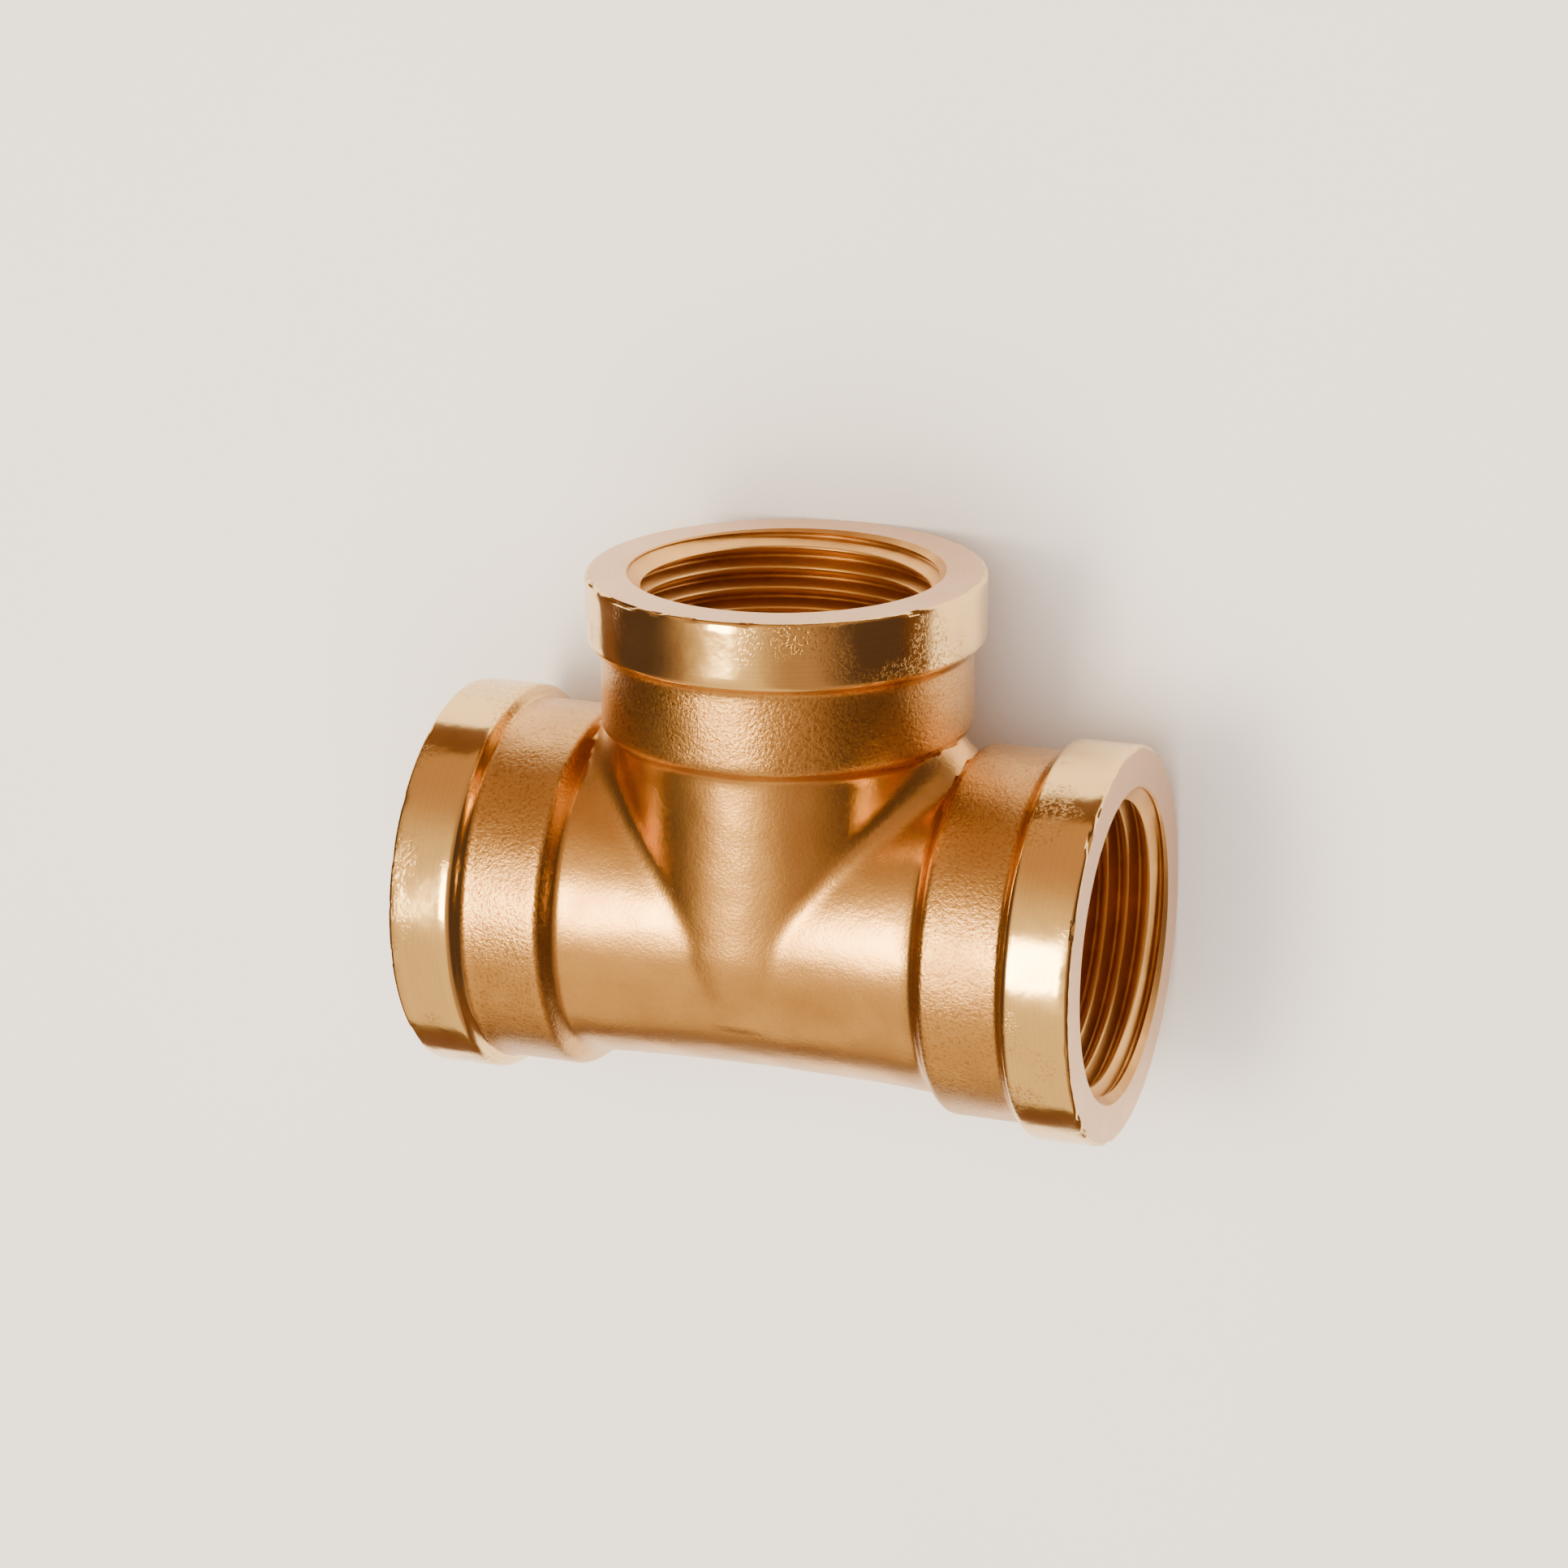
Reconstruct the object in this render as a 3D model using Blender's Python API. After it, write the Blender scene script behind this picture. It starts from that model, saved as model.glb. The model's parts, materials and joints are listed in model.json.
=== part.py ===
"""Equal pipe tee with three internally threaded ports, forged in one piece from brass.

The fitting lies on its three collars, which is how it rests on a table. The run lies
along X and the branch points along +Y. The origin is at the middle of the bottom of the
whole fitting's box. The body is modelled with its branch up, and is laid down at the end.
"""
import math

import bmesh
import bpy
from mathutils import Matrix, Vector

MM = 0.001  # metres in a millimetre

# Overall size, in millimetres. All three ports are alike.
CENTRE_TO_FACE = 29.7
COLLAR_DIAMETER = 33.5
COLLAR_WIDTH = 5.5
COLLAR_RAMP = 0.75
BAND_DIAMETER = 31.2
BAND_INNER_EDGE = 16.75  # from the crossing of the axes to the band's inner edge
BAND_RAMP = 1.05
EDGE_BREAK = 0.3  # small chamfer on each outer corner

# Tubular middle of the body. The run is slightly waisted and the branch is straight, so
# the branch stands a little proud of the run in front and behind. It fades into the run
# over this distance past the run's axis.
BODY_DIAMETER = 28.3
WAIST_DIAMETER = 27.3
COLUMN_FADE = 7.0

# The fillet between branch and run narrows from the two crotches to the front and back.
CROTCH_FILLET = 5.6
SADDLE_FILLET = 2.6
SADDLE_OFFSET = 10.0  # distance in Y from the crotch at which the fillet is narrowest

# Waterway and G 3/4 parallel pipe threads (ISO 228-1), right-handed.
WATERWAY_DIAMETER = 22.6
SOCKET_DEPTH = 13.0
THREAD_PITCH = 1.814
THREAD_MAJOR = 26.441
THREAD_MINOR = 24.117
FLANK_ANGLE = math.radians(27.5)
MOUTH_DIAMETER = 26.6  # outer edge of the 45 degree countersink on the port's face
DRILL_ALLOWANCE = 0.26  # the drilled socket is this much smaller in radius than the tap

BRASS_COLOUR = (0.50, 0.24, 0.085, 1.0)

# Mesh density, and the reach of the cutters.
ARM_SIDES = 48
THREAD_SIDES = 30
BODY_ROWS = 9
HALVINGS = 30  # bisection steps in finding the fillet
ON_THE_SKIN = 1e-6  # a point this near the skin is on it
SMOOTH_ANGLE = math.radians(30.0)
NEARLY_PARALLEL = 0.9999  # past this cosine the two tubes run into each other smoothly
SEAM_DISTANCE = 0.002  # points this close at a seam are one
MITRE_DISTANCE = 0.05  # points this close on a mitre are one
CUTTER_OVERRUN = 1.0  # how far a cutter stands out past the port's face

BAND_FOOT = BAND_INNER_EDGE - BAND_RAMP
SOCKET_BOTTOM = CENTRE_TO_FACE - SOCKET_DEPTH
QUARTER_TURN = math.pi / 2
CROSSING = Vector((0.0, (COLLAR_DIAMETER / 2 - CENTRE_TO_FACE) / 2, COLLAR_DIAMETER / 2))
LAY_DOWN = Matrix.Rotation(-QUARTER_TURN, 4, "X")  # takes the branch from +Z to +Y

# Each arm is made pointing up and then turned about Y: the branch, the right run arm and
# the left run arm. The second value lists the X directions in which it has a crotch.
ARMS = {
    "branch": (0.0, (1, -1)),
    "run_right": (QUARTER_TURN, (-1,)),
    "run_left": (-QUARTER_TURN, (1,)),
}


def ease(share):
    """Ease a share from 0 to 1."""
    share = min(share, 1.0)
    return share * share * (3.0 - 2.0 * share)


def run_radius(along):
    """Radius of the run's waisted tube at a distance from the middle."""
    share = min(abs(along) / BAND_FOOT, 1.0)
    return (WAIST_DIAMETER + (BODY_DIAMETER - WAIST_DIAMETER) * share ** 2) / 2


def branch_radius(along):
    """Radius of the branch's column, which fades into the run past the run's axis."""
    body, waist = BODY_DIAMETER / 2, WAIST_DIAMETER / 2
    if along >= 0.0:
        return body
    proud = (body ** 2 - waist ** 2) * (1.0 - ease(-along / COLUMN_FADE))
    return math.sqrt(waist ** 2 - along ** 2 + proud)


def outer_profile():
    """Stations (along, radius) of an arm's outside, from the crossing to the face."""
    collar, band = COLLAR_DIAMETER / 2, BAND_DIAMETER / 2
    collar_start = CENTRE_TO_FACE - COLLAR_WIDTH
    # The rows close up towards the band, where the crotch fillet bends most.
    rows = [BAND_FOOT * math.sin(QUARTER_TURN * i / BODY_ROWS) for i in range(BODY_ROWS + 1)]
    return [(along, run_radius(along)) for along in rows] + [
        (BAND_INNER_EDGE, band - EDGE_BREAK / 2),
        (BAND_INNER_EDGE + EDGE_BREAK, band),
        (collar_start - COLLAR_RAMP, band),
        (collar_start, collar - EDGE_BREAK / 2),
        (collar_start + EDGE_BREAK, collar),
        (CENTRE_TO_FACE - EDGE_BREAK, collar),
        (CENTRE_TO_FACE, collar - EDGE_BREAK),
    ]


def bore_profile():
    """Stations of the drilled way through an arm: waterway, socket and countersink."""
    water, mouth = WATERWAY_DIAMETER / 2, MOUTH_DIAMETER / 2
    socket = THREAD_MINOR / 2 - DRILL_ALLOWANCE
    step = SOCKET_BOTTOM + DRILL_ALLOWANCE
    return [
        (0.0, water),
        (SOCKET_BOTTOM / 2, water),
        (step, water),
        (step, socket),
        (CENTRE_TO_FACE - (mouth - socket), socket),
        (CENTRE_TO_FACE + CUTTER_OVERRUN, mouth + CUTTER_OVERRUN),
    ]


def tap_profile():
    """Stations of a tap's edge, with enough turns to be cut to length at both ends."""
    root, crest = THREAD_MINOR / 2, THREAD_MAJOR / 2
    flank = (crest - root) * math.tan(FLANK_ANGLE)
    flat = THREAD_PITCH / 2 - flank
    first = SOCKET_BOTTOM - 2 * THREAD_PITCH
    turns = math.ceil((CENTRE_TO_FACE + CUTTER_OVERRUN - first) / THREAD_PITCH) + 1
    stations = []
    for turn in range(turns):
        start = first + turn * THREAD_PITCH
        stations += [
            (start, root),
            (start + flat, root),
            (start + flat + flank, crest),
            (start + 2 * flat + flank, crest),
        ]
    return stations


def outside_tubes(point, upright_radius):
    """Distance outside a tube along X and an upright one, with the fillet between them.

    The fillet is the one that a ball leaves as it rolls along both tubes. The result is
    negative inside the metal. The upright tube's radius is a function of the height.
    """
    from_run = max(math.hypot(point.y, point.z), SEAM_DISTANCE)
    from_upright = max(math.hypot(point.x, point.y), SEAM_DISTANCE)
    run_gap = from_run - run_radius(point.x)
    if point.z < -COLUMN_FADE:
        return run_gap
    upright_gap = from_upright - upright_radius(point.z)
    narrowing = ease(abs(point.y) / SADDLE_OFFSET)
    ball = CROTCH_FILLET + (SADDLE_FILLET - CROTCH_FILLET) * narrowing
    # Cosine of the angle between the two tubes' outward directions at this point.
    cosine = point.y * point.y / (from_run * from_upright)
    near, far = sorted((ball - run_gap, ball - upright_gap))
    if near <= 0.0 or near <= cosine * far or cosine > NEARLY_PARALLEL:
        return min(run_gap, upright_gap)
    spread = (far - near) ** 2 / (1.0 - cosine ** 2)
    return ball - math.sqrt(spread + 2.0 * near * far / (1.0 + cosine))


def move_out(vert, direction, upright_radius):
    """Move a point out to the filleted skin if it is inside it, along a unit direction."""
    if outside_tubes(vert.co, upright_radius) > -ON_THE_SKIN:
        return
    low, high = 0.0, CROTCH_FILLET
    for _ in range(HALVINGS):
        middle = (low + high) / 2
        if outside_tubes(vert.co + direction * middle, upright_radius) < 0.0:
            low = middle
        else:
            high = middle
    vert.co += direction * high


def roll_fillet(arm, crotch):
    """Move an arm's skin out to the fillet on its crotch side, which is +1 or -1 in X."""
    for vert in arm.verts:
        if vert.co.x * crotch > 0.0 and vert.co.z <= BAND_INNER_EDGE + EDGE_BREAK:
            outwards = Vector((vert.co.x, vert.co.y, 0.0)).normalized()
            move_out(vert, outwards, run_radius)


def raise_column(tee):
    """Move the joined skin out to the branch's straight column and its fillet."""
    bmesh.ops.recalc_face_normals(tee, faces=tee.faces)
    tee.normal_update()
    for vert in tee.verts:
        if max(abs(vert.co.x), vert.co.z) <= BAND_INNER_EDGE + EDGE_BREAK:
            move_out(vert, vert.normal.copy(), branch_radius)


def turned_tube(profile, sides, rise=0.0):
    """Spin a profile of (along, radius) stations about Z. A rise in Z makes it a screw."""
    tube = bmesh.new()
    points = [tube.verts.new((radius, 0.0, along)) for along, radius in profile]
    lines = [tube.edges.new(pair) for pair in zip(points, points[1:])]
    bmesh.ops.spin(tube, geom=points + lines, cent=(0, 0, 0), axis=(0, 0, 1),
                   dvec=(0, 0, rise / sides), angle=2 * math.pi, steps=sides)
    bmesh.ops.remove_doubles(tube, verts=tube.verts, dist=SEAM_DISTANCE)
    return tube


def cut_off(piece, origin, normal):
    """Cut a piece at a plane and drop the part on the normal's side."""
    bmesh.ops.bisect_plane(piece, geom=piece.verts[:] + piece.edges[:] + piece.faces[:],
                           dist=SEAM_DISTANCE, plane_co=origin, plane_no=normal,
                           clear_outer=True)


def finished_mesh(piece, name):
    """Close a piece's open rims flat, turn its faces outwards and scale it to metres."""
    rims = [edge for edge in piece.edges if edge.is_boundary]
    bmesh.ops.holes_fill(piece, edges=rims, sides=0)
    bmesh.ops.recalc_face_normals(piece, faces=piece.faces)
    piece.transform(Matrix.Scale(MM, 4))
    mesh = bpy.data.meshes.new(name)
    piece.to_mesh(mesh)
    piece.free()
    mesh.shade_smooth()
    mesh.set_sharp_from_angle(angle=SMOOTH_ANGLE)
    return mesh


def tee_mesh(name, profile, filleted):
    """Three alike arms, each mitred at the planes midway between its axis and the next."""
    tee = bmesh.new()
    for turn, crotches in ARMS.values():
        arm = turned_tube(profile, ARM_SIDES)
        for crotch in crotches:
            if filleted:
                roll_fillet(arm, crotch)
            cut_off(arm, (0, 0, 0), (crotch, 0, -1))
        arm.transform(Matrix.Rotation(turn, 4, "Y"))
        arm_mesh = bpy.data.meshes.new("arm")
        arm.to_mesh(arm_mesh)
        arm.free()
        tee.from_mesh(arm_mesh)
        bpy.data.meshes.remove(arm_mesh)
    bmesh.ops.remove_doubles(tee, verts=tee.verts, dist=MITRE_DISTANCE)
    if filleted:
        raise_column(tee)
    return finished_mesh(tee, name)


def tap_mesh():
    """A threaded plug, cut square at the bottom of the socket and outside the face."""
    tap = turned_tube(tap_profile(), THREAD_SIDES, rise=THREAD_PITCH)
    cut_off(tap, (0, 0, SOCKET_BOTTOM), (0, 0, -1))
    cut_off(tap, (0, 0, CENTRE_TO_FACE + CUTTER_OVERRUN), (0, 0, 1))
    return finished_mesh(tap, "tap")


def placed_object(name, mesh, collection, turn=0.0):
    """An object whose own origin is where the axes cross, laid down with the fitting."""
    thing = bpy.data.objects.new(name, mesh)
    place = Matrix.Translation(CROSSING * MM)
    thing.matrix_basis = place @ LAY_DOWN @ Matrix.Rotation(turn, 4, "Y")
    collection.objects.link(thing)
    return thing


def cut_with(body, cutter):
    """Cut a hidden wire cutter out of the body."""
    cutter.hide_render = True
    cutter.display_type = "WIRE"
    cut = body.modifiers.new(cutter.name, "BOOLEAN")
    cut.operation = "DIFFERENCE"
    cut.solver = "EXACT"
    cut.object = cutter


def brass_material():
    """Bright forged brass."""
    brass = bpy.data.materials.new("forged_brass")
    brass.use_nodes = True
    shader = brass.node_tree.nodes["Principled BSDF"]
    shader.inputs["Base Color"].default_value = BRASS_COLOUR
    shader.inputs["Metallic"].default_value = 1.0
    shader.inputs["Roughness"].default_value = 0.3
    return brass


def new_collection(name):
    """A collection linked to the scene."""
    collection = bpy.data.collections.new(name)
    bpy.context.scene.collection.children.link(collection)
    return collection


def main():
    """Clear the scene, then forge the body and machine its three ports."""
    for thing in list(bpy.data.objects):
        bpy.data.objects.remove(thing)
    fitting, cutters = new_collection("tee_fitting"), new_collection("cutters")

    body = placed_object("tee_body", tee_mesh("tee_body", outer_profile(), True), fitting)
    body.data.materials.append(brass_material())
    cut_with(body, placed_object("bore", tee_mesh("bore", bore_profile(), False), cutters))
    tap = tap_mesh()
    for arm_name, (turn, _) in ARMS.items():
        cut_with(body, placed_object("tap_" + arm_name, tap, cutters, turn))


main()
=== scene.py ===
import json
import math

import bmesh
import bpy
from mathutils import Matrix, Vector, noise

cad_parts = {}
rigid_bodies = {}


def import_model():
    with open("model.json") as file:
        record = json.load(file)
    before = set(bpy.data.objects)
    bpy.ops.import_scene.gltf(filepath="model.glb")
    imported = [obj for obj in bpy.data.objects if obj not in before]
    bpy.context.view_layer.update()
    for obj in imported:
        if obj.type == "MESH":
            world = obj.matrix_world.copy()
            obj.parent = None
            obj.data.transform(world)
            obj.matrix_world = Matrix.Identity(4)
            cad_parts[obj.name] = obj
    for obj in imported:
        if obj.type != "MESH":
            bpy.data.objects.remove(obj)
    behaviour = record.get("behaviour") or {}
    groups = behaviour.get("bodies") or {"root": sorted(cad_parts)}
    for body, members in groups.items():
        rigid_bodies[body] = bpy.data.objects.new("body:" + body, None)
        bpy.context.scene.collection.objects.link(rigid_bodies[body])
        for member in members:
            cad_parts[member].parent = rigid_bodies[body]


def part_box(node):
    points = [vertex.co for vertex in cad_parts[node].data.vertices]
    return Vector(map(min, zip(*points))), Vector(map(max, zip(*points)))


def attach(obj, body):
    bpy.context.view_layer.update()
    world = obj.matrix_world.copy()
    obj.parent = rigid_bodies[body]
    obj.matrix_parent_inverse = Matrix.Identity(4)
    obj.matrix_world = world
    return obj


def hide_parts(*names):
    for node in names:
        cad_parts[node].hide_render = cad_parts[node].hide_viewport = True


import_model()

bl_info = {
    "name": "Brass Pipe Tee",
    "version": (1, 0, 0),
    "blender": (4, 5, 0),
    "location": "3D View > Sidebar > Pipe Tee",
    "description": "Forges, turns and taps a brass pipe tee, and lights it in a small studio",
    "category": "Object",
}

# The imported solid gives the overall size, and the finer sizes repeat its design.
CAD_LOW, CAD_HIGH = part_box("tee_body")
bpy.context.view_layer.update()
CENTRE_TO_FACE = CAD_HIGH.x
COLLAR_RADIUS = (CAD_HIGH.z - CAD_LOW.z) / 2

MM = 0.001  # metres in a millimetre
QUARTER_TURN = math.pi / 2

# The tee is modelled with its branch up and its axes crossing at the origin. This then
# lays it on its three collars, with the branch pointing along +Y.
LAY_DOWN = (Matrix.Translation((0.0, CAD_HIGH.y - CENTRE_TO_FACE, CAD_LOW.z + COLLAR_RADIUS))
            @ Matrix.Rotation(-QUARTER_TURN, 4, "X"))

# Each arm is made pointing up and then turned about Y. The second value lists the X
# directions in which that arm has a crotch before it is turned.
ARMS = {
    "branch": (0.0, (1, -1)),
    "run_right": (QUARTER_TURN, (-1,)),
    "run_left": (-QUARTER_TURN, (1,)),
}

ARM_SIDES = 192
THREAD_SIDES = 96
SURROUND_SIDES = 96
CORNER_SEGMENTS = 3
RIM_SEGMENTS = 5  # the collar's outer corner catches the light, so it has more rows
ROW_SPACING = 0.6 * MM
BORE_ROW_SPACING = 2.0 * MM
SEAM = 0.001 * MM  # points this close at a seam are one
MITRE = 0.01 * MM  # points this close on a mitre are one
ON_THE_SKIN = 0.0001 * MM  # a point this near the skin is on it
HALVINGS = 20  # bisection steps in finding the crotch fillet
NEARLY_PARALLEL = 0.9999  # past this cosine the two tubes run into each other smoothly
NICK_LEVEL = 0.15  # only noise above this dents a collar's corner
OVERRUN = 1.0 * MM  # how far a cutter stands out past the port's face
FACE_SUPPORT = 0.06 * MM  # a thin flat row that keeps the port's face looking flat
FACE_CARRY = 0.4 * MM  # how far the face is carried in past the mouth, to be cut away
FACE_MARGIN = 0.01 * MM  # a face this near the port's end is part of it
STEP_CORNER = 0.2 * MM  # rounding where the waterway opens into the socket
SPARE_TURNS = 2  # turns of the tap below the socket, to be cut off
SKIN_FADE = (1.2 * MM, 0.2 * MM)  # the forged skin fades out this far short of the collar
WAVE_OCTAVES = 3
LINE_LEVEL, LINE_VARIATION = 0.6, 0.4  # the parting line's height varies along it
LINE_LENGTH = 3.0 * MM  # spacing of that variation
FLANK_ANGLE = math.radians(27.5)
SHARP_ANGLE = math.radians(28.0)

# Faces take one of these finishes each, which are also the body's material slots in order.
FINISHES = ("blasted", "turned", "faced", "tapped")

# Real sizes of the marks each process leaves. A lathe's feed is nearer 0.1 mm, too fine to
# show at this size, so its lines are drawn a little coarser.
SHOT_SIZE = 0.3 * MM
LUMP_SIZE = 1.6 * MM
SMEAR_SIZE = 3.5 * MM
TARNISH_SIZE = 6.0 * MM
PATCH_SIZE = 7.0 * MM
TOOL_FEED = 0.15 * MM
BAND_SKIN_START = 0.3 * MM
NOISE_LOW, NOISE_HIGH = 0.3, 0.7  # most of a noise texture's values lie between these
BLASTED_RELIEF = 0.06 * MM
TURNED_RELIEF = 0.02 * MM
FACED_RELIEF = 0.003 * MM
TAPPED_RELIEF = 0.006 * MM

# Colours of the light around the stage, and how bright it is.
PALE_LIGHT = "FFE0AC"
WARM_LIGHT = "C29468"
DIM_LIGHT = "B08C6C"
DARK_LIGHT = "503E34"
SURROUNDINGS_STRENGTH = 1.4

# Each soft light's name, place and size in mm, power in watts and colour, and whether the
# metal reflects it. The second one only lights the floor.
SOFTBOXES = (
    ("key", (-110, 15, 410), (190, 100), 1.7, "FFEBC4", True),
    ("fill", (0, 0, 1200), (1600, 1600), 34.0, "FFFFFF", False),
)

# The stage. The surround begins where the bright board ends.
SURROUND_RADIUS = 80 * MM
SURROUND_HEIGHT = 0.5 * MM
FLOOR_HALF_WIDTH = 2.0
FLOOR_FLECK = 40 * MM

# The camera is placed about the tee as modelled, branch up, before it is laid down.
CAMERA_AZIMUTH = 20.47
CAMERA_ELEVATION = 18.22
CAMERA_ROLL = -0.0076
CAMERA_DISTANCE = 354.8 * MM
CAMERA_AIM = Vector((-0.36, 0.0, 10.89)) * MM
CAMERA_LENS = 96.56  # mm, on a sensor 36 mm wide


def length(name, description, default):
    """A size in metres that a user can change."""
    return bpy.props.FloatProperty(name=name, description=description, default=default,
                                   unit="LENGTH", precision=5)


def srgb(code):
    """Linear colour, with alpha, of an sRGB hex code such as C08A4E."""
    channels = [int(code[i:i + 2], 16) / 255 for i in (0, 2, 4)]
    return tuple(c / 12.92 if c <= 0.04045 else ((c + 0.055) / 1.055) ** 2.4
                 for c in channels) + (1.0,)


def colour(name, description, code):
    """A surface colour that a user can change."""
    return bpy.props.FloatVectorProperty(name=name, description=description, size=4,
                                         default=srgb(code), subtype="COLOR", min=0, max=1)


class TeeSizes(bpy.types.PropertyGroup):
    """Driving sizes of the forging and of the cuts made in it."""
    collar_width: length("Collar width", "Turned width of each collar", 5.5 * MM)
    collar_ramp: length("Collar ramp", "Length of the slope from band to collar", 0.75 * MM)
    collar_corner: length("Collar corner", "Rounding of the collar's two corners", 0.35 * MM)
    band_diameter: length("Band diameter", "Outside of the forged band", 31.2 * MM)
    band_edge: length("Band edge", "From the crossing to the band's inner edge", 16.75 * MM)
    band_ramp: length("Band ramp", "Length of the slope from tube to band", 1.05 * MM)
    band_corner: length("Band corner", "Rounding of the band's inner edge and foot", 0.4 * MM)
    tube_diameter: length("Tube diameter", "Plain tube at the foot of the band", 28.3 * MM)
    waist_diameter: length("Waist diameter", "Run's tube where the axes cross", 27.3 * MM)
    column_fade: length("Column fade", "Where the branch fades into the run", 7.0 * MM)
    crotch_fillet: length("Crotch fillet", "Fillet in the two crotches", 5.6 * MM)
    saddle_fillet: length("Saddle fillet", "Fillet at the front and back", 2.6 * MM)
    saddle_offset: length("Saddle offset", "Where the fillet is narrowest, in Y", 10.0 * MM)
    waterway: length("Waterway", "Diameter of the way through the middle", 22.6 * MM)
    socket_depth: length("Socket depth", "Depth of thread in each port", 13.0 * MM)
    socket_allowance: length("Drill allowance", "Thread left on the drilled socket", 0.26 * MM)
    pitch: length("Thread pitch", "Pipe thread of 14 to the inch", 1.814 * MM)
    thread_major: length("Thread major", "Diameter at the thread's roots", 26.441 * MM)
    thread_minor: length("Thread minor", "Diameter at the thread's crests", 24.117 * MM)
    thread_corner: length("Thread corner", "Rounding of crests and roots", 0.13 * MM)
    mouth: length("Mouth", "Outer diameter of the countersink", 26.6 * MM)
    waviness: length("Waviness", "Height of the forging's slow unevenness", 0.07 * MM)
    wave_length: length("Wave length", "Spacing of the forging's slow unevenness", 8.0 * MM)
    parting_line: length("Parting line", "Height of the trimmed flash line", 0.05 * MM)
    nick_depth: length("Nick depth", "Deepest dent in a collar's corner", 0.45 * MM)
    nick_spacing: length("Nick spacing", "Spacing of dents in a collar's corner", 1.5 * MM)
    parting_width: length("Parting width", "Half width of the trimmed flash line", 0.5 * MM)


class TeeFinishes(bpy.types.PropertyGroup):
    """Colours of the brass as each process left it, and of the stage."""
    blasted: colour("Blasted", "Shot-blasted forging skin", "DFAE6C")
    blasted_dark: colour("Blasted, dark", "Oxide left in the forging skin's hollows", "A2703E")
    turned: colour("Turned", "Lathe-turned collar", "F0CA88")
    turned_dark: colour("Turned, dark", "Tool marks on the collar", "C4904E")
    faced: colour("Faced", "Faced end of a port", "DAB088")
    faced_dark: colour("Faced, dark", "Tool marks on the faced end", "C4946A")
    tapped: colour("Tapped", "Tapped thread and drilled way", "EEBC74")
    # The darker colour in the thread's roots is painted shade, deepest at the roots and varied
    # in clouds.
    tapped_root_shade: colour("Tapped, dark", "Oil held in the thread's roots", "B07638")
    floor: colour("Floor", "Pale floor under the fitting", "F4F1EE")
    floor_dark: colour("Floor, dark", "Faint flecks in the floor's paint", "F0EDEA")
    surround: colour("Surround", "Dark felt seen only in the reflections", "4A2E1C")


def smooth_step(low, high, value):
    """Ease from 0 at low to 1 at high."""
    share = min(max((value - low) / (high - low), 0.0), 1.0)
    return share * share * (3.0 - 2.0 * share)


def run_radius(sizes, along):
    """Radius of the run's waisted tube at a distance from the middle."""
    share = min(abs(along) / (sizes.band_edge - sizes.band_ramp), 1.0)
    return (sizes.waist_diameter + (sizes.tube_diameter - sizes.waist_diameter) * share ** 2) / 2


def branch_radius(sizes, along):
    """Radius of the branch's column, which fades into the run past the run's axis."""
    tube, waist = sizes.tube_diameter / 2, sizes.waist_diameter / 2
    if along >= 0.0:
        return tube
    proud = (tube ** 2 - waist ** 2) * (1.0 - smooth_step(0.0, sizes.column_fade, -along))
    return math.sqrt(waist ** 2 - along ** 2 + proud)


def rounded_wire(stations):
    """A wire in the XZ plane through (along, radius, rounding, segments) stations."""
    wire = bmesh.new()
    points = [wire.verts.new((radius, 0.0, along)) for along, radius, *_ in stations]
    for pair in zip(points, points[1:]):
        wire.edges.new(pair)
    for point, (_, _, rounding, segments) in zip(points, stations):
        if rounding:
            bmesh.ops.bevel(wire, geom=[point], affect="VERTICES", offset=rounding,
                            segments=segments, profile=0.5, material=-1)
    return wire


def divide_long_edges(wire, spacing):
    """Divide every edge of a wire that is longer than the spacing."""
    for edge in wire.edges[:]:
        cuts = int(edge.calc_length() / spacing)
        if cuts:
            bmesh.ops.subdivide_edges(wire, edges=[edge], cuts=cuts)


def outer_wire(sizes):
    """Profile of an arm's outside, from the crossing to the port's face."""
    band, foot = sizes.band_diameter / 2, sizes.band_edge - sizes.band_ramp
    collar_start = CENTRE_TO_FACE - sizes.collar_width
    soft, crisp = sizes.band_corner, sizes.collar_corner
    wire = rounded_wire([
        (0.0, run_radius(sizes, 0.0), 0, 0),
        (foot, run_radius(sizes, foot), soft, CORNER_SEGMENTS),
        (sizes.band_edge, band, soft, CORNER_SEGMENTS),
        (collar_start - sizes.collar_ramp, band, crisp, CORNER_SEGMENTS),
        (collar_start, COLLAR_RADIUS, crisp, CORNER_SEGMENTS),
        (CENTRE_TO_FACE, COLLAR_RADIUS, crisp, RIM_SEGMENTS),
        (CENTRE_TO_FACE, COLLAR_RADIUS - crisp - FACE_SUPPORT, 0, 0),
        (CENTRE_TO_FACE, sizes.mouth / 2 - FACE_CARRY, 0, 0),
    ])
    divide_long_edges(wire, ROW_SPACING)
    for vert in wire.verts:
        if vert.co.z < foot - soft:
            vert.co.x = run_radius(sizes, vert.co.z)
    return wire


def bore_wire(sizes):
    """Profile of the drilled way through an arm: waterway, socket and countersink."""
    water, mouth = sizes.waterway / 2, sizes.mouth / 2
    socket = sizes.thread_minor / 2 - sizes.socket_allowance
    step = CENTRE_TO_FACE - sizes.socket_depth + sizes.socket_allowance
    wire = rounded_wire([
        (0.0, water, 0, 0),
        (step, water, STEP_CORNER, CORNER_SEGMENTS),
        (step, socket, 0, 0),
        (CENTRE_TO_FACE - (mouth - socket), socket, 0, 0),
        (CENTRE_TO_FACE + OVERRUN, mouth + OVERRUN, 0, 0),
    ])
    divide_long_edges(wire, BORE_ROW_SPACING)
    return wire


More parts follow.
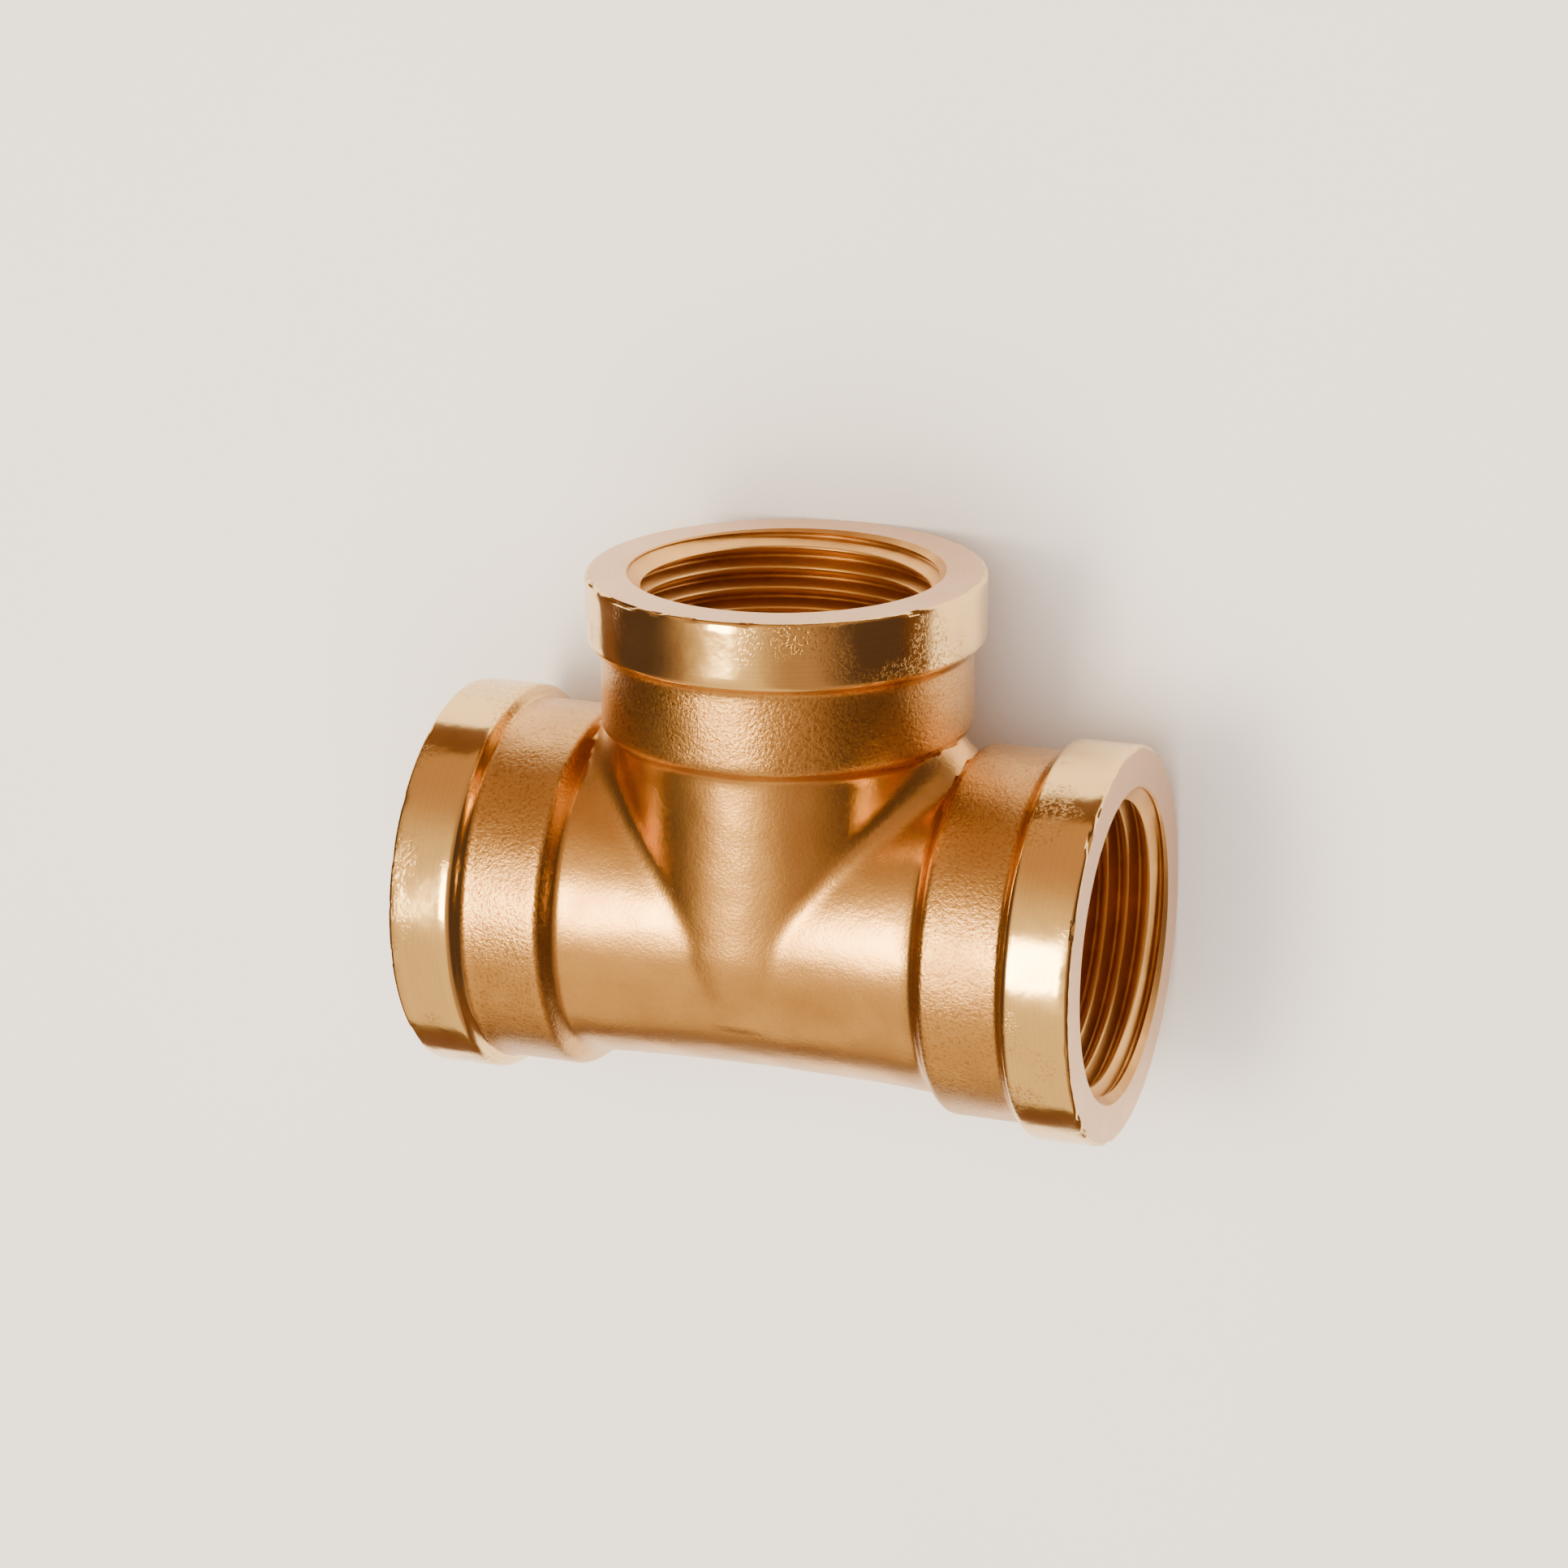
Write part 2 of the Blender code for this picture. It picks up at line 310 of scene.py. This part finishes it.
def tap_wire(sizes):
    """Profile of a tap's edge, with enough turns to be cut to length at both ends."""
    root, crest, corner = sizes.thread_minor / 2, sizes.thread_major / 2, sizes.thread_corner
    flank = (crest - root) * math.tan(FLANK_ANGLE)
    flat = sizes.pitch / 2 - flank
    first = CENTRE_TO_FACE - sizes.socket_depth - SPARE_TURNS * sizes.pitch
    turns = math.ceil((CENTRE_TO_FACE + OVERRUN - first) / sizes.pitch) + 1
    stations = []
    for turn in range(turns):
        start = first + turn * sizes.pitch
        for step, radius in ((0, root), (flat, root), (flat + flank, crest),
                             (2 * flat + flank, crest)):
            stations.append((start + step, radius, corner, CORNER_SEGMENTS))
    # The wire's two loose ends stay square.
    stations[0] = stations[0][:2] + (0, 0)
    stations[-1] = stations[-1][:2] + (0, 0)
    return rounded_wire(stations)


def spun(wire, sides, rise=0.0):
    """Spin a wire about Z. A rise in Z makes a screw."""
    bmesh.ops.spin(wire, geom=wire.verts[:] + wire.edges[:], cent=(0, 0, 0), axis=(0, 0, 1),
                   dvec=(0, 0, rise / sides), angle=2 * math.pi, steps=sides,
                   use_merge=not rise)
    bmesh.ops.remove_doubles(wire, verts=wire.verts, dist=SEAM)
    return wire


def outside_tubes(sizes, point, upright_radius):
    """Distance outside a tube along X and an upright one, with the fillet between them.

    The fillet is the one that a ball leaves as it rolls along both tubes. The result is
    negative inside the metal. The upright tube's radius is a function of the height.
    """
    from_run = max(math.hypot(point.y, point.z), SEAM)
    from_upright = max(math.hypot(point.x, point.y), SEAM)
    run_gap = from_run - run_radius(sizes, point.x)
    if point.z < -sizes.column_fade:
        return run_gap
    upright_gap = from_upright - upright_radius(sizes, point.z)
    ease = smooth_step(0.0, sizes.saddle_offset, abs(point.y))
    ball = sizes.crotch_fillet + (sizes.saddle_fillet - sizes.crotch_fillet) * ease
    # Cosine of the angle between the two tubes' outward directions at this point.
    cosine = point.y * point.y / (from_run * from_upright)
    near, far = sorted((ball - run_gap, ball - upright_gap))
    if near <= 0.0 or near <= cosine * far or cosine > NEARLY_PARALLEL:
        return min(run_gap, upright_gap)
    spread = (far - near) ** 2 / (1.0 - cosine ** 2)
    return ball - math.sqrt(spread + 2.0 * near * far / (1.0 + cosine))


def move_out(sizes, vert, direction, upright_radius):
    """Move a point out to the filleted skin if it is inside it, along a unit direction."""
    if outside_tubes(sizes, vert.co, upright_radius) > -ON_THE_SKIN:
        return
    low, high = 0.0, sizes.crotch_fillet
    for _ in range(HALVINGS):
        middle = (low + high) / 2
        if outside_tubes(sizes, vert.co + direction * middle, upright_radius) < 0.0:
            low = middle
        else:
            high = middle
    vert.co += direction * high


def roll_fillet(sizes, arm, crotch):
    """Move an arm's skin out to the fillet on its crotch side, which is +1 or -1 in X."""
    for vert in arm.verts:
        if vert.co.x * crotch > 0.0 and vert.co.z <= sizes.band_edge + sizes.band_corner:
            outwards = Vector((vert.co.x, vert.co.y, 0.0)).normalized()
            move_out(sizes, vert, outwards, run_radius)


def raise_column(sizes, tee):
    """Move the joined skin out to the branch's straight column and its fillet."""
    bmesh.ops.recalc_face_normals(tee, faces=tee.faces)
    tee.normal_update()
    for vert in tee.verts:
        if max(abs(vert.co.x), vert.co.z) <= sizes.band_edge + sizes.band_corner:
            move_out(sizes, vert, vert.normal.copy(), branch_radius)


def cut_off(piece, origin, normal):
    """Cut a piece at a plane and drop the part on the normal's side."""
    bmesh.ops.bisect_plane(piece, geom=piece.verts[:] + piece.edges[:] + piece.faces[:],
                           dist=SEAM, plane_co=origin, plane_no=normal, clear_outer=True)


def closed(piece):
    """Close a piece's open rims flat and turn its faces outwards."""
    rims = [edge for edge in piece.edges if edge.is_boundary]
    bmesh.ops.holes_fill(piece, edges=rims, sides=0)
    bmesh.ops.recalc_face_normals(piece, faces=piece.faces)
    return piece


def three_arms(sizes, wire_maker, filleted):
    """Three alike arms, each mitred at the planes midway between its axis and the next."""
    tee = bmesh.new()
    for turn, crotches in ARMS.values():
        arm = spun(wire_maker(sizes), ARM_SIDES)
        for crotch in crotches:
            if filleted:
                roll_fillet(sizes, arm, crotch)
            cut_off(arm, (0, 0, 0), (crotch, 0, -1))
        arm.transform(Matrix.Rotation(turn, 4, "Y"))
        arm_mesh = bpy.data.meshes.new("arm")
        arm.to_mesh(arm_mesh)
        arm.free()
        tee.from_mesh(arm_mesh)
        bpy.data.meshes.remove(arm_mesh)
    bmesh.ops.remove_doubles(tee, verts=tee.verts, dist=MITRE)
    if filleted:
        raise_column(sizes, tee)
    return closed(tee)


def tap(sizes):
    """A threaded plug, cut square at the bottom of the socket and outside the face."""
    plug = spun(tap_wire(sizes), THREAD_SIDES, rise=sizes.pitch)
    cut_off(plug, (0, 0, CENTRE_TO_FACE - sizes.socket_depth), (0, 0, -1))
    cut_off(plug, (0, 0, CENTRE_TO_FACE + OVERRUN), (0, 0, 1))
    return closed(plug)


def lathe_position(point):
    """A point's place on its own arm: across, across, and along from the crossing."""
    if point.z > abs(point.x):
        return Vector((point.x, point.y, point.z))
    return Vector((point.y, point.z, abs(point.x)))


def weather_forging(sizes, piece):
    """Give the forged skin its slow unevenness and the trimmed line where the dies met."""
    turned = CENTRE_TO_FACE - sizes.collar_width - sizes.collar_ramp
    fade_start, fade_end = (turned - short for short in SKIN_FADE)
    piece.normal_update()
    moves = []
    for vert in piece.verts:
        place = lathe_position(vert.co)
        forged = 1.0 - smooth_step(fade_start, fade_end, place.z)
        wave = sizes.waviness * noise.fractal(vert.co / sizes.wave_length, 1.0, 2.0,
                                              WAVE_OCTAVES)
        line = sizes.parting_line * math.exp(-(vert.co.y / sizes.parting_width) ** 2)
        line *= LINE_LEVEL + LINE_VARIATION * noise.noise(vert.co / LINE_LENGTH)
        moves.append(vert.normal * forged * (wave + line))
    for vert, move in zip(piece.verts, moves):
        vert.co += move


def nick_corners(sizes, piece):
    """Small dents round the collars' outer corners, from loose handling in a bin."""
    corner = sizes.collar_corner
    for vert in piece.verts:
        place = lathe_position(vert.co)
        rim = math.hypot(place.x, place.y)
        below = CENTRE_TO_FACE - place.z
        if rim < COLLAR_RADIUS - corner or not ON_THE_SKIN < below < corner:
            continue
        dent = noise.noise(vert.co / sizes.nick_spacing) - NICK_LEVEL
        if dent > 0.0:
            vert.co += (dent / (1.0 - NICK_LEVEL)) * sizes.nick_depth * -vert.normal


def linked(name, piece, collection, turn=0.0):
    """An object made from a finished bmesh, with its place left in its mesh."""
    piece.transform(LAY_DOWN @ Matrix.Rotation(turn, 4, "Y"))
    mesh = bpy.data.meshes.new(name)
    piece.to_mesh(mesh)
    piece.free()
    thing = bpy.data.objects.new(name, mesh)
    collection.objects.link(thing)
    return thing


def machined(name, body, cutters):
    """The body with every cutter taken out of it, as one plain mesh."""
    cut = body.modifiers.new("ports", "BOOLEAN")
    cut.operation = "DIFFERENCE"
    cut.solver = "EXACT"
    cut.operand_type = "COLLECTION"
    cut.collection = cutters
    finished = body.evaluated_get(bpy.context.evaluated_depsgraph_get())
    mesh = bpy.data.meshes.new_from_object(finished)
    mesh.name = name
    for cutter in cutters.objects[:]:
        bpy.data.objects.remove(cutter)
    bpy.data.collections.remove(cutters)
    body.modifiers.clear()
    body.data = mesh
    return mesh


def assign_finishes(sizes, mesh):
    """Give each face the finish of the process that made it, and store lathe positions."""
    collar_start = CENTRE_TO_FACE - sizes.collar_width - sizes.collar_ramp
    stand_up = LAY_DOWN.inverted()
    store = mesh.attributes.new("lathe", "FLOAT_VECTOR", "POINT")
    for vert in mesh.vertices:
        store.data[vert.index].vector = lathe_position(stand_up @ vert.co)
    for face in mesh.polygons:
        place = lathe_position(stand_up @ face.center)
        radius = math.hypot(place.x, place.y)
        if place.z > CENTRE_TO_FACE - FACE_MARGIN:
            finish = "faced"
        elif radius < sizes.mouth / 2:
            finish = "tapped"
        elif place.z > collar_start:
            finish = "turned"
        else:
            finish = "blasted"
        face.material_index = FINISHES.index(finish)


def add(tree, kind, inputs=None, output=0, **settings):
    """Add a shader node with its settings, set or link its inputs, and give one output."""
    node = tree.nodes.new("ShaderNode" + kind)
    for name, value in settings.items():
        setattr(node, name, value)
    for socket, value in (inputs or {}).items():
        if isinstance(value, bpy.types.NodeSocket):
            tree.links.new(value, node.inputs[socket])
        else:
            node.inputs[socket].default_value = value
    return node.outputs[output] if node.outputs else None


def new_brass(name):
    """A metal material, its node tree and its shader."""
    material = bpy.data.materials.new(name)
    material.use_nodes = True
    shader = material.node_tree.nodes["Principled BSDF"]
    shader.inputs["Metallic"].default_value = 1.0
    return material, material.node_tree, shader


def lathe_parts(tree):
    """The radius from the arm's axis, and the distance along it, of the shaded point."""
    place = add(tree, "Attribute", output="Vector", attribute_name="lathe")
    along = add(tree, "SeparateXYZ", {0: place}, 2)
    across = add(tree, "VectorMath", {0: place, 1: (1.0, 1.0, 0.0)}, operation="MULTIPLY")
    radius = add(tree, "VectorMath", {0: across}, "Value", operation="LENGTH")
    return radius, along


def blasted_brass(sizes, finishes):
    """Hot-forged brass, shot-blasted. The shot leaves a satin skin of small dimples that
    spreads every highlight, deeper on the bands, where brown oxide stays in the hollows."""
    material, tree, shader = new_brass("shot_blasted_forged_brass")
    place = add(tree, "TexCoord", output="Object")
    along = lathe_parts(tree)[1]
    # The bands keep the die's rougher skin, so their relief is stronger than the tube's.
    bands = add(tree, "MapRange", {0: along, 1: sizes.band_edge - sizes.band_ramp,
                                   2: sizes.band_edge + BAND_SKIN_START},
                interpolation_type="SMOOTHSTEP")
    cloud = add(tree, "TexNoise", {"Vector": place, "Scale": 1 / TARNISH_SIZE, "Detail": 3.0})
    grain = add(tree, "TexNoise", {"Vector": place, "Scale": 1 / SHOT_SIZE, "Detail": 3.0,
                                   "Roughness": 0.65})
    lumps = add(tree, "TexNoise", {"Vector": place, "Scale": 1 / LUMP_SIZE})
    # Tarnish lies in clouds, and oxide in the hollows that the shot did not reach.
    cloudy = add(tree, "MapRange", {0: cloud, 1: NOISE_LOW, 2: NOISE_HIGH, 4: 0.45})
    tint = add(tree, "Mix", {0: cloudy, 6: finishes.blasted, 7: finishes.blasted_dark}, 2,
               data_type="RGBA")
    hollow = add(tree, "MapRange", {0: grain, 1: 0.32, 2: 0.5, 3: 1.0, 4: 0.0})
    oxide = add(tree, "MapRange", {0: bands, 3: 0.15, 4: 0.7})
    oxide = add(tree, "Math", {0: hollow, 1: oxide}, operation="MULTIPLY")
    tint = add(tree, "Mix", {0: oxide, 6: tint, 7: finishes.blasted_dark}, 2,
               data_type="RGBA")
    tree.links.new(tint, shader.inputs["Base Color"])
    satin = add(tree, "MapRange", {0: cloud, 1: NOISE_LOW, 2: NOISE_HIGH, 3: 0.24, 4: 0.32})
    tree.links.new(satin, shader.inputs["Roughness"])
    depth = add(tree, "MapRange", {0: bands, 3: 0.35, 4: 1.0})
    relief = add(tree, "Math", {0: grain, 1: depth}, operation="MULTIPLY")
    relief = add(tree, "Math", {0: lumps, 1: 0.3, 2: relief}, operation="MULTIPLY_ADD")
    bump = add(tree, "Bump", {"Height": relief, "Strength": 1.0,
                              "Distance": BLASTED_RELIEF})
    tree.links.new(bump, shader.inputs["Normal"])
    return material


def turned_brass(sizes, finishes):
    """Brass turned on a lathe. The tool leaves it bright, with a faint ripple and lines
    round the collar. It missed the deepest of the forging's skin, so small pits remain."""
    material, tree, shader = new_brass("lathe_turned_brass")
    place = add(tree, "TexCoord", output="Object")
    along = lathe_parts(tree)[1]
    lines = add(tree, "TexNoise", {"W": along, "Scale": 1 / TOOL_FEED, "Detail": 3.0},
                noise_dimensions="1D")
    smear = add(tree, "TexNoise", {"Vector": place, "Scale": 1 / SMEAR_SIZE})
    # Pits crowd into patches, where the forging stood lowest.
    missed = add(tree, "TexNoise", {"Vector": place, "Scale": 1 / PATCH_SIZE, "Detail": 3.0})
    missed = add(tree, "MapRange", {0: missed, 1: 0.48, 2: 0.6})
    specks = add(tree, "TexNoise", {"Vector": place, "Scale": 1 / SHOT_SIZE, "Detail": 3.0,
                                    "Roughness": 0.65})
    specks = add(tree, "MapRange", {0: specks, 1: 0.32, 2: 0.48, 3: 1.0, 4: 0.0})
    pits = add(tree, "Math", {0: specks, 1: missed}, operation="MULTIPLY")
    dull = add(tree, "MapRange", {0: lines, 1: NOISE_LOW, 2: NOISE_HIGH, 4: 0.15})
    dull = add(tree, "Math", {0: pits, 1: 0.7, 2: dull}, operation="MULTIPLY_ADD",
               use_clamp=True)
    tint = add(tree, "Mix", {0: dull, 6: finishes.turned, 7: finishes.turned_dark}, 2,
               data_type="RGBA")
    tree.links.new(tint, shader.inputs["Base Color"])
    polish = add(tree, "MapRange", {0: smear, 1: NOISE_LOW, 2: NOISE_HIGH, 3: 0.11, 4: 0.2})
    tree.links.new(polish, shader.inputs["Roughness"])
    # The height falls in the pits, and follows the lines and a slow ripple of the tool.
    ripple = add(tree, "TexNoise", {"Vector": place, "Scale": 1 / LUMP_SIZE})
    relief = add(tree, "Math", {0: lines, 1: 0.03, 2: ripple}, operation="MULTIPLY_ADD")
    relief = add(tree, "Math", {0: relief, 1: pits}, operation="SUBTRACT")
    bump = add(tree, "Bump", {"Height": relief, "Strength": 1.0,
                              "Distance": TURNED_RELIEF})
    tree.links.new(bump, shader.inputs["Normal"])
    return material


def faced_brass(sizes, finishes):
    """Brass faced off square on a lathe. Close rings from the tool make it pale and satin."""
    material, tree, shader = new_brass("faced_brass")
    place = add(tree, "TexCoord", output="Object")
    radius = lathe_parts(tree)[0]
    lines = add(tree, "TexNoise", {"W": radius, "Scale": 1 / TOOL_FEED, "Detail": 3.0},
                noise_dimensions="1D")
    smear = add(tree, "TexNoise", {"Vector": place, "Scale": 1 / SMEAR_SIZE})
    dull = add(tree, "MapRange", {0: lines, 1: NOISE_LOW, 2: NOISE_HIGH, 4: 0.35})
    tint = add(tree, "Mix", {0: dull, 6: finishes.faced, 7: finishes.faced_dark}, 2,
               data_type="RGBA")
    tree.links.new(tint, shader.inputs["Base Color"])
    satin = add(tree, "MapRange", {0: smear, 1: NOISE_LOW, 2: NOISE_HIGH, 3: 0.26, 4: 0.36})
    tree.links.new(satin, shader.inputs["Roughness"])
    bump = add(tree, "Bump", {"Height": lines, "Strength": 1.0,
                              "Distance": FACED_RELIEF})
    tree.links.new(bump, shader.inputs["Normal"])
    return material


def tapped_brass(sizes, finishes):
    """Brass cut by drill and tap. The crests are bright, and painted shade darkens the roots."""
    material, tree, shader = new_brass("tapped_brass")
    place = add(tree, "TexCoord", output="Object")
    radius = lathe_parts(tree)[0]
    root = add(tree, "MapRange", {0: radius, 1: sizes.thread_minor / 2,
                                  2: sizes.thread_major / 2})
    smear = add(tree, "TexNoise", {"Vector": place, "Scale": 1 / SMEAR_SIZE})
    # Painted shade in the thread's roots, deeper in some clouds than in others.
    root_shade = add(tree, "MapRange", {0: smear, 1: 0.25, 2: 0.75, 3: 0.2, 4: 0.8})
    root_shade = add(tree, "Math", {0: root, 1: root_shade}, operation="MULTIPLY")
    tint = add(tree, "Mix", {0: root_shade, 6: finishes.tapped, 7: finishes.tapped_root_shade}, 2,
               data_type="RGBA")
    tree.links.new(tint, shader.inputs["Base Color"])
    sheen = add(tree, "MapRange", {0: smear, 1: NOISE_LOW, 2: NOISE_HIGH, 3: 0.34, 4: 0.44})
    tree.links.new(sheen, shader.inputs["Roughness"])
    # Torn metal on the flanks, as fine as the shot's dimples.
    torn = add(tree, "TexNoise", {"Vector": place, "Scale": 1 / SHOT_SIZE})
    bump = add(tree, "Bump", {"Height": torn, "Strength": 1.0,
                              "Distance": TAPPED_RELIEF})
    tree.links.new(bump, shader.inputs["Normal"])
    return material


class TEE_OT_body(bpy.types.Operator):
    """Forge the tee, turn its collars, and drill and tap its three ports"""
    bl_idname = "tee.body"
    bl_label = "Tee body"

    def execute(self, context):
        sizes, finishes = context.scene.tee_sizes, context.scene.tee_finishes
        fitting = new_collection("tee_fitting")
        cutters = new_collection("cutters")
        forging = three_arms(sizes, outer_wire, True)
        weather_forging(sizes, forging)
        nick_corners(sizes, forging)
        body = linked("forged_tee", forging, fitting)
        linked("bore", three_arms(sizes, bore_wire, False), cutters)
        for arm, (turn, _) in ARMS.items():
            linked("tap_" + arm, tap(sizes), cutters, turn)
        mesh = machined("forged_tee", body, cutters)
        if not mesh.polygons:
            raise RuntimeError("the ports could not be cut")
        for make in (blasted_brass, turned_brass, faced_brass, tapped_brass):
            mesh.materials.append(make(sizes, finishes))
        assign_finishes(sizes, mesh)
        mesh.shade_smooth()
        mesh.set_sharp_from_angle(angle=SHARP_ANGLE)
        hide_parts("tee_body")
        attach(body, "root")
        return {"FINISHED"}


def towards(azimuth, elevation):
    """Unit direction at an azimuth from the front (-Y) towards +X, and an elevation."""
    turn, rise = math.radians(azimuth), math.radians(elevation)
    return Vector((math.sin(turn) * math.cos(rise), -math.cos(turn) * math.cos(rise),
                   math.sin(rise)))


def softbox(name, place, size, power, tint, in_reflections):
    """A soft light aimed at the fitting and out of the camera's view. Sizes are in mm."""
    lamp = bpy.data.lights.new(name, "AREA")
    lamp.shape = "RECTANGLE"
    lamp.size, lamp.size_y = (side * MM for side in size)
    lamp.energy = power
    lamp.color = srgb(tint)[:3]
    thing = bpy.data.objects.new(name, lamp)
    thing.location = Vector(place) * MM
    thing.rotation_euler = thing.location.to_track_quat("Z", "Y").to_euler()
    thing.visible_camera = False
    thing.visible_glossy = in_reflections
    bpy.context.scene.collection.objects.link(thing)


def new_collection(name):
    """A collection linked to the scene."""
    collection = bpy.data.collections.new(name)
    bpy.context.scene.collection.children.link(collection)
    return collection


def studio_world():
    """Plain soft surroundings: pale in front, orange-brown behind, and dark at the sides."""
    world = bpy.data.worlds.new("studio")
    world.use_nodes = True
    tree = world.node_tree
    tree.nodes.clear()
    direction = add(tree, "TexCoord", output="Generated")
    across = add(tree, "SeparateXYZ", {0: direction}, 0)
    depth = add(tree, "SeparateXYZ", {0: direction}, 1)
    behind = add(tree, "MapRange", {0: depth, 1: 0.4, 2: 0.85},
                 interpolation_type="SMOOTHSTEP")
    lit = add(tree, "Mix", {0: behind, 6: srgb(PALE_LIGHT), 7: srgb(WARM_LIGHT)}, 2,
              data_type="RGBA")
    # The pale part is a little to the left, with a dimmer part to the right of it.
    from_pale = add(tree, "Math", {0: across, 1: 0.2}, operation="ADD")
    from_pale = add(tree, "Math", {0: from_pale}, operation="ABSOLUTE")
    beside = add(tree, "MapRange", {0: from_pale, 1: 0.15, 2: 0.5},
                 interpolation_type="SMOOTHSTEP")
    lit = add(tree, "Mix", {0: beside, 6: lit, 7: srgb(DIM_LIGHT)}, 2, data_type="RGBA")
    from_middle = add(tree, "Math", {0: across}, operation="ABSOLUTE")
    sides = add(tree, "MapRange", {0: from_middle, 1: 0.5, 2: 0.85},
                interpolation_type="SMOOTHSTEP")
    lit = add(tree, "Mix", {0: sides, 6: lit, 7: srgb(DARK_LIGHT)}, 2, data_type="RGBA")
    glow = add(tree, "Background", {"Color": lit, "Strength": SURROUNDINGS_STRENGTH})
    add(tree, "OutputWorld", {"Surface": glow})
    bpy.context.scene.world = world


def dark_surround(finishes):
    """A dark ring round the bright board, seen only in the metal's reflections. It gives
    the round collars their dark edges, as the far end of a dim room would."""
    ring = bmesh.new()
    inner = ring.verts.new((SURROUND_RADIUS, 0.0, SURROUND_HEIGHT))
    outer = ring.verts.new((FLOOR_HALF_WIDTH, 0.0, SURROUND_HEIGHT))
    edge = ring.edges.new((inner, outer))
    bmesh.ops.spin(ring, geom=[inner, outer, edge], cent=(0, 0, 0), axis=(0, 0, 1),
                   angle=2 * math.pi, steps=SURROUND_SIDES, use_merge=True)
    material = bpy.data.materials.new("dark_felt")
    material.use_nodes = True
    shader = material.node_tree.nodes["Principled BSDF"]
    shader.inputs["Base Color"].default_value = finishes.surround
    shader.inputs["Roughness"].default_value = 1.0
    card = stage_object("dark_surround", ring, material)
    card.visible_camera = card.visible_diffuse = card.visible_shadow = False


def stage_object(name, piece, material):
    """An object of the stage, made from a finished bmesh."""
    mesh = bpy.data.meshes.new(name)
    piece.to_mesh(mesh)
    piece.free()
    mesh.materials.append(material)
    thing = bpy.data.objects.new(name, mesh)
    bpy.context.scene.collection.objects.link(thing)
    return thing


def floor_material(finishes):
    """Matt painted board, which bounces soft light under the fitting."""
    material = bpy.data.materials.new("matt_painted_board")
    material.use_nodes = True
    tree = material.node_tree
    shader = tree.nodes["Principled BSDF"]
    place = add(tree, "TexCoord", output="Object")
    fleck = add(tree, "TexNoise", {"Vector": place, "Scale": 1 / FLOOR_FLECK})
    tint = add(tree, "Mix", {0: fleck, 6: finishes.floor, 7: finishes.floor_dark}, 2,
               data_type="RGBA")
    tree.links.new(tint, shader.inputs["Base Color"])
    shader.inputs["Roughness"].default_value = 0.8
    return material


def aim_camera(context):
    """A long lens, high over the fitting, turned so that the branch points up the frame."""
    lens = bpy.data.cameras.new("camera")
    lens.lens = CAMERA_LENS
    camera = bpy.data.objects.new("camera", lens)
    context.scene.collection.objects.link(camera)
    direction = towards(CAMERA_AZIMUTH, CAMERA_ELEVATION)
    turn = direction.to_track_quat("Z", "Y").to_matrix().to_4x4()
    roll = Matrix.Rotation(CAMERA_ROLL, 4, "Z")
    place = Matrix.Translation(CAMERA_AIM + direction * CAMERA_DISTANCE)
    camera.matrix_world = LAY_DOWN @ place @ turn @ roll
    context.scene.camera = camera


class TEE_OT_stage(bpy.types.Operator):
    """Set out the pale floor, the soft lights and the camera"""
    bl_idname = "tee.stage"
    bl_label = "Stage"

    def execute(self, context):
        finishes = context.scene.tee_finishes
        board = bmesh.new()
        bmesh.ops.create_grid(board, x_segments=1, y_segments=1, size=FLOOR_HALF_WIDTH)
        stage_object("floor", board, floor_material(finishes))
        dark_surround(finishes)
        for lamp in SOFTBOXES:
            softbox(*lamp)
        studio_world()
        aim_camera(context)
        return {"FINISHED"}


class TEE_PT_panel(bpy.types.Panel):
    """Buttons for the tee and its stage, with their sizes and colours"""
    bl_idname = "TEE_PT_panel"
    bl_label = "Pipe tee"
    bl_space_type = "VIEW_3D"
    bl_region_type = "UI"
    bl_category = "Pipe Tee"

    def draw(self, context):
        layout = self.layout
        for operator in (TEE_OT_body, TEE_OT_stage):
            layout.operator(operator.bl_idname)
        for group in (context.scene.tee_sizes, context.scene.tee_finishes):
            column = layout.column()
            for name in group.__annotations__:
                column.prop(group, name)


CLASSES = (TeeSizes, TeeFinishes, TEE_OT_body, TEE_OT_stage, TEE_PT_panel)


def register():
    for kind in CLASSES:
        bpy.utils.register_class(kind)
    bpy.types.Scene.tee_sizes = bpy.props.PointerProperty(type=TeeSizes)
    bpy.types.Scene.tee_finishes = bpy.props.PointerProperty(type=TeeFinishes)


def unregister():
    del bpy.types.Scene.tee_finishes
    del bpy.types.Scene.tee_sizes
    for kind in reversed(CLASSES):
        bpy.utils.unregister_class(kind)


def main():
    """Make the tee and its stage."""
    register()
    bpy.ops.tee.body()
    bpy.ops.tee.stage()


if __name__ == "__main__":
    main()
